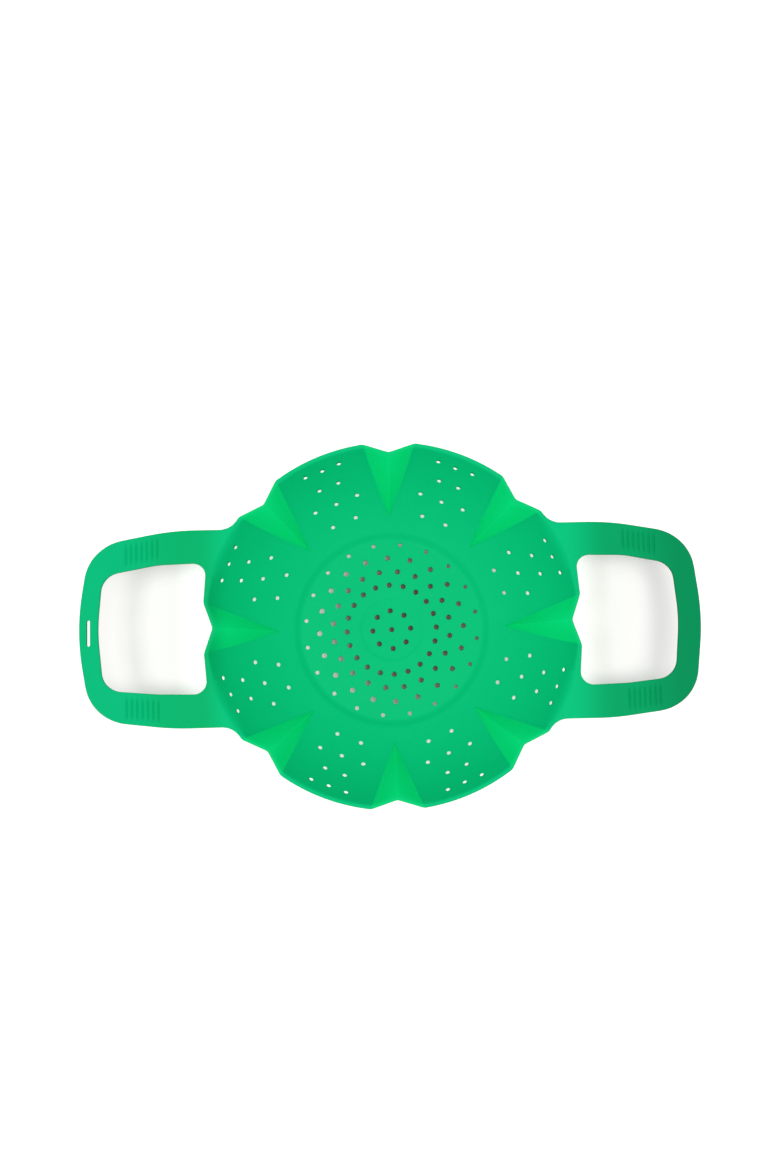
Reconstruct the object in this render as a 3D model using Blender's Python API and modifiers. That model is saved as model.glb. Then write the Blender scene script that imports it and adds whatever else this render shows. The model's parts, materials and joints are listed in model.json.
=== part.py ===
"""Silicone steamer basket: a perforated bowl whose petals and pleats fold, with two loop handles.

Metres. +Z is up, +X runs along the handles, and the four feet stand on Z = 0 round the origin.
The real basket is one moulding. Each object here is a stretch of it between two of its fold lines.
"""

import math

import bmesh
import bpy
from mathutils import Vector

# Floor, step and feet.
FLOOR_RADIUS = 0.0610
FLOOR_THICKNESS = 0.0022
STEP_HEIGHT = 0.0030
STEP_WIDTH = 0.0032
STEP_LAND = 0.0010
FOOT_HEIGHT = 0.0140
FOOT_RADIUS = 0.0052
FOOT_TIP_RADIUS = 0.0040
FOOT_INSET = 0.0097
FEET = 4
FOOT_SIDES = 16
FOOT_TURN_SHARE = 0.52

# Bowl wall, on its food side, and its lip.
WALL_RUN = 0.0510
START_SLOPE = math.radians(20.0)
RIM_SLOPE = math.radians(62.0)
WALL_THICKNESS = 0.0020
LIP_WIDTH = 0.0024
LIP_HEIGHT = 0.0020
HANDLE_PULL = 0.0018

# Petals and the pleats between them.
PETALS = 8
APEX_SETBACK = 0.0098
PLEAT_WIDTH = 0.0318
NOTCH_DEPTH = 0.0066
PLEAT_THICKNESS = 0.0015
FOLD_GAP = 0.0004
APEX_OPENING = 0.0064
RIDGE_GAP_AT_APEX = 0.0016
RIDGE_GAP_AT_RIM = 0.0010
RIDGE_RELIEF = 0.0030
MOST_RELIEF_SHARE = 0.8

# Steam holes.
HOLE_SIDES = 8
HOLE_DIAMETER = 0.0035
EDGE_HOLE_DIAMETER = 0.0027
FLOOR_HOLE_MARGIN = 0.0032
FLOOR_RING_PITCH = 0.0092
HOLES_PER_RING = 20
CLUSTER_RADIUS = 0.0128
CLUSTER_HOLES = 8
CLUSTER_TURN_SHARE = 0.067
RING_TURN_SHARES = (0.6, 0.1, 0.6, 0.1)
WALL_HOLE_DIAMETER = 0.0028
WALL_ROW_PITCH = 0.0148
WALL_HOLE_RIM_MARGIN = 0.0102
WALL_HOLE_PITCH = 0.0116
WALL_ROW_HOLES = (3, 2, 3, 2)
ROW_WIDENING_SHARE = 0.145

# Handles.
HANDLE_REACH = 0.0808
HANDLE_THICKNESS = 0.0028
HANDLE_HALF_WIDTH = 0.0618
HANDLE_TAPER = 0.0040
HANDLE_CORNER_RADIUS = 0.0330
ARM_WIDTH = 0.0212
CROSSBAR_WIDTH = 0.0118
LOOP_CORNER_RADIUS = 0.0190
ROOT_LENGTH = 0.0026
ROOT_FILLET = 0.0045
HINGE_GAP = 0.0006
HINGE_RELIEF = 0.0010
SLOT_LENGTH = 0.0170
SLOT_WIDTH = 0.0023
RIBS = 7
RIB_PITCH = 0.0036
RIB_WIDTH = 0.0013
RIB_HEIGHT = 0.0006
RIB_EDGE_MARGIN = 0.0030
RIB_SETBACK = 0.0385
FILLET_SHARE = 0.9
FULL_ROUND_SHARE = 0.99

# Joints of the mesh closer than this are one point.
MERGE = 0.00001

# Clearance between stretches of the moulding that touch, and the overrun of the cutters.
SEAM_GAP = 0.0003
OVERRUN = 0.0050

# Resolution.
SHARP_ANGLE = math.radians(35.0)
PETAL_STEPS = 6
WALL_STEPS = 6
FACET_STEPS = 2
ARC_STEPS = 6
RING_STEPS = 64

# Sizes that follow from the ones above.
SECTOR = 2 * math.pi / PETALS
STEP_RADIUS = FLOOR_RADIUS + STEP_WIDTH
WALL_START_RADIUS = STEP_RADIUS + STEP_LAND
RIM_RADIUS = WALL_START_RADIUS + WALL_RUN
APEX_RADIUS = WALL_START_RADIUS + APEX_SETBACK
CHORD_DISTANCE = APEX_RADIUS * math.cos(SECTOR / 2)
NOTCH_RADIUS = RIM_RADIUS - NOTCH_DEPTH
PETAL_HALF_ANGLE = SECTOR / 2 - math.asin(PLEAT_WIDTH / 2 / RIM_RADIUS)
FLOOR_TOP = FOOT_HEIGHT + FLOOR_THICKNESS
WALL_START_Z = FLOOR_TOP + STEP_HEIGHT
WALL_ARC = WALL_RUN / (math.sin(RIM_SLOPE) - math.sin(START_SLOPE))
ARC_CENTRE_RADIUS = WALL_START_RADIUS - WALL_ARC * math.sin(START_SLOPE)
ARC_CENTRE_Z = WALL_START_Z + WALL_ARC * math.cos(START_SLOPE)
RIM_Z = ARC_CENTRE_Z - WALL_ARC * math.cos(RIM_SLOPE)

ROUGHNESS = 0.48
COLOURS = {
    "floor": (0.005, 0.540, 0.215),
    "wall": (0.004, 0.515, 0.190),
    "pleat": (0.006, 0.620, 0.205),
    "handle": (0.004, 0.400, 0.155),
    "foot": (0.004, 0.420, 0.150),
}


def clear_scene():
    for old in list(bpy.data.objects):
        bpy.data.objects.remove(old)


def silicone(name):
    material = bpy.data.materials.new("silicone_" + name)
    material.use_nodes = True
    shader = material.node_tree.nodes["Principled BSDF"]
    shader.inputs["Base Color"].default_value = (*COLOURS[name], 1.0)
    shader.inputs["Roughness"].default_value = ROUGHNESS
    shader.inputs["Metallic"].default_value = 0.0
    return material


def add_object(name, mesh, material, collection):
    piece = bpy.data.objects.new(name, mesh)
    piece.data.materials.append(material)
    collection.objects.link(piece)
    return piece


def hide_cutter(cutter):
    cutter.hide_render = True
    cutter.display_type = "WIRE"


def add_hinge(name, place, carrier=None):
    """An empty on a joint's axis. What hangs on it turns with it."""
    hinge = bpy.data.objects.new(name, None)
    bpy.context.scene.collection.objects.link(hinge)
    hinge["place"] = place
    hang(hinge, carrier)
    hinge.location += place
    return hinge


def hang(piece, carrier):
    """Parents a piece to a hinge and keeps it where it is."""
    if carrier is not None:
        piece.parent = carrier
        piece.location -= Vector(carrier["place"])


def boolean(piece, other, operation):
    cut = piece.modifiers.new(operation.lower(), "BOOLEAN")
    cut.operation = operation
    cut.solver = "EXACT"
    cut.object = other


def food_height(radius):
    """Height of the wall's food side at a radius: an arc that steepens towards the rim."""
    run = radius - ARC_CENTRE_RADIUS
    return ARC_CENTRE_Z - math.sqrt(WALL_ARC**2 - run**2)


def outside_height(radius):
    run = radius - ARC_CENTRE_RADIUS
    return ARC_CENTRE_Z - math.sqrt((WALL_ARC + WALL_THICKNESS) ** 2 - run**2)


def turned(point, azimuth):
    """A plan point (x, y) turned about the bowl's axis."""
    cosine, sine = math.cos(azimuth), math.sin(azimuth)
    return Vector((point.x * cosine - point.y * sine, point.x * sine + point.y * cosine))


def polar(radius, azimuth):
    return Vector((radius * math.cos(azimuth), radius * math.sin(azimuth)))


def petal_azimuth(number):
    return number * SECTOR - SECTOR / 2


def pulled(point, along):
    """The handles draw the rim out along X, and it narrows as much along Y."""
    stretch = along * HANDLE_PULL / RIM_RADIUS
    return Vector((point.x * (1 + stretch), point.y * (1 - stretch)))


def wall_stations():
    """Shares of the run from base to rim: wall stations, then the three that shape the lip."""
    run = RIM_RADIUS - CHORD_DISTANCE
    lip_share = LIP_HEIGHT / math.tan(RIM_SLOPE) / run
    stations = [(1 - 2 * lip_share) * step / WALL_STEPS for step in range(WALL_STEPS + 1)]
    return stations + [1 - lip_share, 1.0]


STATIONS = wall_stations()


def reach_outside(station):
    """How far past the food side's rim the outside runs, as a share of the run."""
    run = RIM_RADIUS - CHORD_DISTANCE
    if station > WALL_STEPS:
        return 1 + LIP_WIDTH / run
    return STATIONS[station] * (1 + WALL_THICKNESS * math.sin(RIM_SLOPE) / run)


def wall_point(base, rim, station, outside):
    """A point of the wall on the plan line from base to rim, on its food side or its outside."""
    share = reach_outside(station) if outside else STATIONS[station]
    plan = base.lerp(rim, share)
    if outside and station > WALL_STEPS:
        height = RIM_Z if station == len(STATIONS) - 1 else RIM_Z - LIP_HEIGHT
    elif outside:
        height = outside_height(plan.length)
    else:
        height = food_height(min(plan.length, RIM_RADIUS))
    plan = pulled(plan, share)
    return Vector((plan.x, plan.y, height))


def petal_point(azimuth, station, across, outside):
    """across runs from -1 to 1 between the two creases. The base is a straight fold line."""
    base = Vector((CHORD_DISTANCE + FOLD_GAP / 2, across * APEX_RADIUS * math.sin(SECTOR / 2)))
    rim = polar(RIM_RADIUS, across * PETAL_HALF_ANGLE)
    inset = math.copysign(FOLD_GAP / 2, across) if abs(across) == 1 else 0.0
    side = Vector((0.0, inset))
    return wall_point(turned(base - side, azimuth), turned(rim - side, azimuth), station, outside)


def crease_point(pleat, side, station, outside):
    """A point of the facet's long edge, which meets the petal at the crease."""
    petal = pleat + side * SECTOR / 2
    edge = -side * (APEX_RADIUS * math.sin(SECTOR / 2) + FOLD_GAP / 2)
    base = Vector((CHORD_DISTANCE, edge))
    rim = polar(RIM_RADIUS, -side * PETAL_HALF_ANGLE) - Vector((0.0, side * FOLD_GAP / 2))
    return wall_point(turned(base, petal), turned(rim, petal), station, outside)


def ridge_place(pleat, side, station, radius, height):
    share = STATIONS[station]
    gap = RIDGE_GAP_AT_APEX + share * (RIDGE_GAP_AT_RIM - RIDGE_GAP_AT_APEX)
    plan = pulled(polar(radius, pleat), share) + polar(gap / 2, pleat + side * math.pi / 2)
    return Vector((plan.x, plan.y, height))


def ridge_point(pleat, side, station):
    """The pleat's ridge runs straight from its apex to the notch in the rim."""
    share = STATIONS[station]
    radius = APEX_RADIUS + share * (NOTCH_RADIUS - APEX_RADIUS)
    height = food_height(APEX_RADIUS) + share * (RIM_Z - food_height(APEX_RADIUS))
    return ridge_place(pleat, side, station, radius, height)


def ridge_outside(pleat, side, station):
    """Under the ridge, as deep as gives the facet its thickness square to its own slope."""
    if station > WALL_STEPS:
        height = RIM_Z if station == len(STATIONS) - 1 else RIM_Z - LIP_HEIGHT
        return ridge_place(pleat, side, station, NOTCH_RADIUS + LIP_WIDTH, height)
    ridge = ridge_point(pleat, side, station)
    along = ridge_point(pleat, side, len(STATIONS) - 1) - ridge
    aside = crease_point(pleat, side, max(station, 1), False) - ridge_point(pleat, side, max(station, 1))
    square = along.cross(aside).normalized()
    return ridge - Vector((0.0, 0.0, PLEAT_THICKNESS / abs(square.z)))


def facet_point(pleat, side, station, across, outside):
    """side is -1 for the facet on the clockwise petal. across runs from the crease to the ridge."""
    crease = crease_point(pleat, side, station, outside)
    if not outside:
        return crease.lerp(ridge_point(pleat, side, station), across)
    ridge = ridge_outside(pleat, side, station)
    groove_share = min(RIDGE_RELIEF / (crease - ridge).length, MOST_RELIEF_SHARE)
    return crease.lerp(ridge.lerp(crease, groove_share), across)


def thick_sheet(name, stations, across_steps, point):
    """A closed wall: a grid whose points follow point(station, across share, outside).

    Its squares are split before it gets its thickness, so both sides bend on the same diagonals.
    """
    shape = bmesh.new()
    bmesh.ops.create_grid(shape, x_segments=len(stations) - 1, y_segments=across_steps, size=1.0)
    bmesh.ops.triangulate(shape, faces=shape.faces[:], quad_method="FIXED")
    places = {}
    for vert in shape.verts:
        station = stations[round((vert.co.x + 1) / 2 * (len(stations) - 1))]
        places[vert] = (station, (vert.co.y + 1) / 2)
    grown = bmesh.ops.extrude_face_region(shape, geom=shape.faces[:], use_keep_orig=True)
    outside = [item for item in grown["geom"] if isinstance(item, bmesh.types.BMVert)]
    for vert in outside:
        station = stations[round((vert.co.x + 1) / 2 * (len(stations) - 1))]
        vert.co = point(station, (vert.co.y + 1) / 2, True)
    for vert, (station, across) in places.items():
        vert.co = point(station, across, False)
    bmesh.ops.recalc_face_normals(shape, faces=shape.faces[:])
    mesh = bpy.data.meshes.new(name)
    shape.to_mesh(mesh)
    shape.free()
    mesh.shade_smooth()
    mesh.set_sharp_from_angle(angle=SHARP_ANGLE)
    return mesh


def hole_cutter(name, places, diameter, collection):
    """One object of upright cylinders, because the holes are drawn along the mould's Z."""
    shape = bmesh.new()
    depth = RIM_Z + OVERRUN
    for place in places:
        drill = bmesh.ops.create_cone(
            shape, cap_ends=True, segments=HOLE_SIDES, depth=depth,
            radius1=diameter / 2, radius2=diameter / 2,
        )
        bmesh.ops.translate(shape, verts=drill["verts"], vec=(place.x, place.y, depth / 2))
    mesh = bpy.data.meshes.new(name)
    shape.to_mesh(mesh)
    shape.free()
    cutter = bpy.data.objects.new(name, mesh)
    collection.objects.link(cutter)
    hide_cutter(cutter)
    return cutter


def wall_hole_places(azimuth):
    """Ten holes to a petal, in straight staggered rows, evenly spaced along the wall from its rim."""
    places = []
    for row, count in enumerate(WALL_ROW_HOLES):
        slope = RIM_SLOPE - (WALL_HOLE_RIM_MARGIN + row * WALL_ROW_PITCH) / WALL_ARC
        out = ARC_CENTRE_RADIUS + WALL_ARC * math.sin(slope)
        share = (out - CHORD_DISTANCE) / (RIM_RADIUS - CHORD_DISTANCE)
        for hole in range(count):
            offset = (hole - (count - 1) / 2) * WALL_HOLE_PITCH * (1 + row * ROW_WIDENING_SHARE)
            places.append(pulled(turned(Vector((out, offset)), azimuth), share))
    return places


def make_petals(collection, cutters):
    material = silicone("wall")
    petals = {}
    for number in range(1, PETALS + 1):
        azimuth = petal_azimuth(number)
        name = f"petal_{number}"

        def point(station, across, outside, azimuth=azimuth):
            return petal_point(azimuth, station, 2 * across - 1, outside)

        mesh = thick_sheet(name, range(len(STATIONS)), PETAL_STEPS, point)
        petals[number] = add_object(name, mesh, material, collection)
        cutter = hole_cutter(name + "_holes", wall_hole_places(azimuth), WALL_HOLE_DIAMETER, cutters)
        boolean(petals[number], cutter, "DIFFERENCE")
    return petals


def first_facet_station():
    """The facets begin where the pleat is wide enough to fold, just up from its apex."""
    run = RIM_RADIUS - CHORD_DISTANCE
    return APEX_OPENING / run


def make_pleats(collection):
    material = silicone("pleat")
    facets = {}
    for number in range(1, PETALS + 1):
        azimuth = number * SECTOR
        for side, letter in ((-1, "a"), (1, "b")):
            name = f"pleat_{number}_{letter}"

            def point(station, across, outside, azimuth=azimuth, side=side):
                return facet_at(azimuth, side, station, across, outside)

            mesh = thick_sheet(name, range(len(STATIONS)), FACET_STEPS, point)
            facets[number, letter] = add_object(name, mesh, material, collection)
    return facets


def facet_at(azimuth, side, station, across, outside):
    """The first station moves up from the apex, where the facet would have no width."""
    if station > 0:
        return facet_point(azimuth, side, station, across, outside)
    start = facet_point(azimuth, side, 0, across, outside)
    share = first_facet_station() / STATIONS[1]
    return start.lerp(facet_point(azimuth, side, 1, across, outside), share)


def floor_hole_rings():
    """(radius, count, first azimuth, diameter) of each ring of floor holes."""
    cluster_turn = CLUSTER_TURN_SHARE * 2 * math.pi / CLUSTER_HOLES
    rings = [(0.0, 1, 0.0, HOLE_DIAMETER), (CLUSTER_RADIUS, CLUSTER_HOLES, cluster_turn, HOLE_DIAMETER)]
    for ring, turn_share in enumerate(RING_TURN_SHARES):
        radius = FLOOR_RADIUS - FLOOR_HOLE_MARGIN - ring * FLOOR_RING_PITCH
        turn = turn_share * 2 * math.pi / HOLES_PER_RING
        rings.append((radius, HOLES_PER_RING, turn, EDGE_HOLE_DIAMETER if ring == 0 else HOLE_DIAMETER))
    return rings


def circle_spline(curve, centre, radius, sides, turn=0.0):
    spline = curve.splines.new("POLY")
    spline.points.add(sides - 1)
    spline.use_cyclic_u = True
    for corner in range(sides):
        place = centre + polar(radius, turn + 2 * math.pi * corner / sides)
        spline.points[corner].co = (place.x, place.y, 0.0, 1.0)


def flat_curve(name, thickness):
    curve = bpy.data.curves.new(name, "CURVE")
    curve.dimensions = "2D"
    curve.fill_mode = "BOTH"
    curve.extrude = thickness / 2
    return curve


def make_floor(collection):
    curve = flat_curve("floor", FLOOR_THICKNESS)
    circle_spline(curve, Vector((0.0, 0.0)), FLOOR_RADIUS - SEAM_GAP, RING_STEPS)
    for radius, count, turn, diameter in floor_hole_rings():
        for hole in range(count):
            centre = polar(radius, turn + 2 * math.pi * hole / count)
            circle_spline(curve, centre, diameter / 2, HOLE_SIDES)
    floor = add_object("floor", curve, silicone("floor"), collection)
    floor.location.z = FLOOR_TOP - FLOOR_THICKNESS / 2
    return floor


def make_step(collection, cutters):
    """The ring that climbs from the floor to the wall, out to the petals' fold lines."""
    outer = APEX_RADIUS + OVERRUN
    run = outer - WALL_START_RADIUS
    arc = [WALL_START_RADIUS + run * step / ARC_STEPS for step in range(ARC_STEPS + 1)]
    top = [(FLOOR_RADIUS, FLOOR_TOP), (STEP_RADIUS, WALL_START_Z - STEP_LAND * math.tan(START_SLOPE))]
    top += [(radius, food_height(radius)) for radius in arc]
    bottom = [(radius, outside_height(radius)) for radius in reversed(arc)]
    bottom += [(STEP_RADIUS, outside_height(WALL_START_RADIUS) - STEP_LAND * math.tan(START_SLOPE))]
    bottom += [(FLOOR_RADIUS + STEP_WIDTH / 2, FOOT_HEIGHT), (FLOOR_RADIUS, FOOT_HEIGHT)]
    shape = bmesh.new()
    verts = [shape.verts.new((radius, 0.0, height)) for radius, height in top + bottom]
    for first, second in zip(verts, verts[1:] + verts[:1]):
        shape.edges.new((first, second))
    mesh = bpy.data.meshes.new("step_ring")
    shape.to_mesh(mesh)
    shape.free()
    ring = add_object("step_ring", mesh, silicone("floor"), collection)
    screw = ring.modifiers.new("turn", "SCREW")
    screw.axis = "Z"
    screw.steps = RING_STEPS
    screw.render_steps = RING_STEPS
    screw.use_merge_vertices = True
    screw.merge_threshold = MERGE
    shape = bmesh.new()
    radius = (CHORD_DISTANCE - FOLD_GAP / 2) / math.cos(SECTOR / 2)
    depth = 2 * RIM_Z
    bmesh.ops.create_cone(
        shape, cap_ends=True, segments=PETALS, radius1=radius, radius2=radius, depth=depth
    )
    mesh = bpy.data.meshes.new("fold_lines")
    shape.to_mesh(mesh)
    shape.free()
    cutter = bpy.data.objects.new("fold_lines", mesh)
    cutters.objects.link(cutter)
    hide_cutter(cutter)
    boolean(ring, cutter, "INTERSECT")
    return ring


def make_feet(collection):
    material = silicone("foot")
    for number in range(1, FEET + 1):
        shape = bmesh.new()
        bmesh.ops.create_cone(
            shape, cap_ends=True, segments=FOOT_SIDES, depth=FOOT_HEIGHT - SEAM_GAP,
            radius1=FOOT_TIP_RADIUS, radius2=FOOT_RADIUS,
        )
        mesh = bpy.data.meshes.new(f"foot_{number}")
        shape.to_mesh(mesh)
        shape.free()
        mesh.shade_smooth()
        mesh.set_sharp_from_angle(angle=SHARP_ANGLE)
        foot = add_object(f"foot_{number}", mesh, material, collection)
        place = polar(FLOOR_RADIUS - FOOT_INSET, (number - 1 + FOOT_TURN_SHARE) * 2 * math.pi / FEET)
        foot.location = (place.x, place.y, (FOOT_HEIGHT - SEAM_GAP) / 2)


def fillet(before, corner, after, radius):
    """Points of the arc that rounds a corner of an outline."""
    back = (before - corner).normalized()
    ahead = (after - corner).normalized()
    half = back.angle(ahead) / 2
    reach = radius / math.tan(half)
    centre = corner + (back + ahead).normalized() * radius / math.sin(half)
    first = corner + back * reach - centre
    last = corner + ahead * reach - centre
    sweep = first.angle_signed(last)
    return [centre + turned(first, -sweep * step / ARC_STEPS) for step in range(ARC_STEPS + 1)]


def rounded(outline):
    """An outline of (x, y, corner radius), with each corner that has a radius rounded."""
    corners = [Vector((x, y)) for x, y, _ in outline]
    points = []
    for index, (_, _, radius) in enumerate(outline):
        after = corners[(index + 1) % len(corners)]
        if radius == 0:
            points.append(corners[index])
        else:
            points += fillet(corners[index - 1], corners[index], after, radius)
    return points


def hinge_x():
    """The handles bend on a line just outside the rim, where the loop's opening begins."""
    inner = HANDLE_HALF_WIDTH - ARM_WIDTH - ROOT_FILLET
    lip = RIM_RADIUS + LIP_WIDTH + HANDLE_PULL
    return math.sqrt(lip**2 - inner**2) + ROOT_LENGTH


def add_outline(curve, points):
    spline = curve.splines.new("POLY")
    spline.points.add(len(points) - 1)
    spline.use_cyclic_u = True
    for target, place in zip(spline.points, points):
        target.co = (place.x, place.y, 0.0, 1.0)


def welded_mesh(name, curve):
    """The curve's filled and extruded form as one closed mesh."""
    helper = bpy.data.objects.new(name + "_outline", curve)
    bpy.context.scene.collection.objects.link(helper)
    bpy.context.view_layer.update()
    graph = bpy.context.evaluated_depsgraph_get()
    mesh = bpy.data.meshes.new_from_object(helper.evaluated_get(graph))
    bpy.data.objects.remove(helper)
    shape = bmesh.new()
    shape.from_mesh(mesh)
    bmesh.ops.remove_doubles(shape, verts=shape.verts[:], dist=MERGE)
    return mesh, shape


def relieve_hinge(shape, x, inward):
    """Slants the end face away from the fold line below, so the handle can droop a little."""
    reach = 2 * HINGE_RELIEF
    for vert in shape.verts:
        away = inward * (vert.co.x - x)
        if vert.co.z < 0 and away < reach:
            vert.co.x += inward * HINGE_RELIEF * (1 - away / reach)


def make_handle(name, has_slot, collection, cutters):
    root = hinge_x() + HINGE_GAP / 2
    tip = hinge_x() + HANDLE_REACH
    wide = HANDLE_HALF_WIDTH
    narrow = HANDLE_HALF_WIDTH - HANDLE_TAPER
    inner = HANDLE_HALF_WIDTH - ARM_WIDTH
    loop_end = tip - CROSSBAR_WIDTH
    loop_narrow = inner - HANDLE_TAPER * (loop_end - root) / (tip - root)
    mouth = inner - ROOT_FILLET
    curve = flat_curve(name, HANDLE_THICKNESS)
    add_outline(curve, rounded([
        (root, wide, 0.0), (root, mouth, 0.0), (root + SEAM_GAP, inner, ROOT_FILLET * FILLET_SHARE),
        (loop_end, loop_narrow, LOOP_CORNER_RADIUS), (loop_end, -loop_narrow, LOOP_CORNER_RADIUS),
        (root + SEAM_GAP, -inner, ROOT_FILLET * FILLET_SHARE), (root, -mouth, 0.0), (root, -wide, 0.0),
        (tip, -narrow, HANDLE_CORNER_RADIUS), (tip, narrow, HANDLE_CORNER_RADIUS),
    ]))
    if has_slot:
        middle = tip - CROSSBAR_WIDTH / 2
        end = SLOT_WIDTH / 2
        bend = end * FULL_ROUND_SHARE
        add_outline(curve, rounded([
            (middle - end, -SLOT_LENGTH / 2, bend), (middle + end, -SLOT_LENGTH / 2, bend),
            (middle + end, SLOT_LENGTH / 2, bend), (middle - end, SLOT_LENGTH / 2, bend),
        ]))
    mesh, shape = welded_mesh(name, curve)
    relieve_hinge(shape, root, 1)
    shape.to_mesh(mesh)
    shape.free()
    handle = add_object(name, mesh, silicone("handle"), collection)
    handle.location.z = RIM_Z - HANDLE_THICKNESS / 2
    if has_slot:
        handle.rotation_euler.z = math.pi
    ribs = rib_cutter(name + "_ribs", cutters)
    ribs.location = handle.location
    ribs.rotation_euler = handle.rotation_euler
    boolean(handle, ribs, "UNION")
    return handle


def rib_cutter(name, collection):
    """The raised grip ribs across both arms, sunk into the strap so that they join it."""
    shape = bmesh.new()
    middle = hinge_x() + HANDLE_REACH - RIB_SETBACK
    taper = HANDLE_TAPER * (middle - hinge_x()) / HANDLE_REACH
    outer = HANDLE_HALF_WIDTH - taper - RIB_EDGE_MARGIN
    inner = HANDLE_HALF_WIDTH - ARM_WIDTH - taper + RIB_EDGE_MARGIN
    for side in (-1, 1):
        for rib in range(RIBS):
            x = middle + (rib - (RIBS - 1) / 2) * RIB_PITCH
            block = bmesh.ops.create_cube(shape, size=1.0)["verts"]
            bmesh.ops.scale(shape, verts=block, vec=(RIB_WIDTH, outer - inner, 2 * RIB_HEIGHT))
            place = (x, side * (outer + inner) / 2, HANDLE_THICKNESS / 2)
            bmesh.ops.translate(shape, verts=block, vec=place)
    mesh = bpy.data.meshes.new(name)
    shape.to_mesh(mesh)
    shape.free()
    ribs = bpy.data.objects.new(name, mesh)
    collection.objects.link(ribs)
    hide_cutter(ribs)
    return ribs


def make_root(name, side_x, side_y, collection):
    """The flap that carries one arm: from the petal's lip out to the handle's fold line."""
    end = hinge_x() - HINGE_GAP / 2
    mouth = HANDLE_HALF_WIDTH - ARM_WIDTH - ROOT_FILLET
    lip = RIM_RADIUS + LIP_WIDTH + SEAM_GAP
    first = math.asin(mouth / (lip - HANDLE_PULL))
    last = math.asin(HANDLE_HALF_WIDTH / (lip - HANDLE_PULL))
    sweep = last - first
    edge = [pulled(polar(lip, first + sweep * step / ARC_STEPS), 1.0) for step in range(ARC_STEPS + 1)]
    outline = edge + [Vector((end, edge[-1].y)), Vector((end, edge[0].y))]
    curve = flat_curve(name, HANDLE_THICKNESS)
    add_outline(curve, outline)
    mesh, shape = welded_mesh(name, curve)
    for turned_to in (-1, 1):
        cap = [face for face in shape.faces if face.normal.z * turned_to > 1 - MERGE]
        bmesh.ops.dissolve_faces(shape, faces=cap)
    relieve_hinge(shape, end, -1)
    for vert in shape.verts:
        vert.co.x *= side_x
        vert.co.y *= side_y
    if side_x * side_y < 0:
        bmesh.ops.reverse_faces(shape, faces=shape.faces[:])
    shape.to_mesh(mesh)
    shape.free()
    root = add_object(name, mesh, silicone("handle"), collection)
    root.location.z = RIM_Z - HANDLE_THICKNESS / 2
    return root


def make_hinges():
    """Each wing folds on the line through its corner pleats' apexes, each other petal on its base."""
    apex_z = food_height(APEX_RADIUS)
    hinges = {}
    for side, azimuth, numbers in (("right", 0.0, (1, PETALS)), ("left", math.pi, (4, 5))):
        line = polar(APEX_RADIUS * math.cos(SECTOR), azimuth)
        grip = polar(hinge_x(), azimuth)
        wing = add_hinge(side + "_wing_fold", Vector((line.x, line.y, apex_z)))
        bend = add_hinge(side + "_handle_bend", Vector((grip.x, grip.y, RIM_Z)), wing)
        hinges[side + "_wing"] = wing
        hinges[side + "_handle"] = bend
        for number in numbers:
            hinges[f"petal_{number}"] = wing
    for number in (2, 3, 6, 7):
        line = polar(CHORD_DISTANCE, petal_azimuth(number))
        place = Vector((line.x, line.y, apex_z))
        hinges[f"petal_{number}"] = add_hinge(f"petal_{number}_fold", place)
    return hinges


def hang_facets(facets, hinges):
    """A facet turns on its crease, which its petal carries. A pleat under a handle stays with the wing."""
    for (number, letter), facet in facets.items():
        petal = number if letter == "a" else number % PETALS + 1
        carrier = hinges[f"petal_{petal}"]
        if number in (4, PETALS):
            hang(facet, carrier)
            continue
        side = -1 if letter == "a" else 1
        place = facet_point(number * SECTOR, side, 0, 0.0, False)
        hang(facet, add_hinge(facet.name + "_fold", place, carrier))


def make_all():
    clear_scene()
    basket = bpy.data.collections.new("steamer_basket")
    cutters = bpy.data.collections.new("cutters")
    bpy.context.scene.collection.children.link(basket)
    bpy.context.scene.collection.children.link(cutters)
    make_floor(basket)
    make_step(basket, cutters)
    make_feet(basket)
    hinges = make_hinges()
    for number, petal in make_petals(basket, cutters).items():
        hang(petal, hinges[f"petal_{number}"])
    hang_facets(make_pleats(basket), hinges)
    for name, side in (("right", 1), ("left", -1)):
        hang(make_handle(name + "_handle", side < 0, basket, cutters), hinges[name + "_handle"])
        for end, side_y in (("back", 1), ("front", -1)):
            hang(make_root(f"{name}_handle_root_{end}", side, side_y, basket), hinges[name + "_wing"])


make_all()
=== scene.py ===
"""Looks of the silicone steamer basket: one green moulding that folds in along its pleats."""
import json
import math

import bpy
from mathutils import Matrix, Vector

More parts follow.
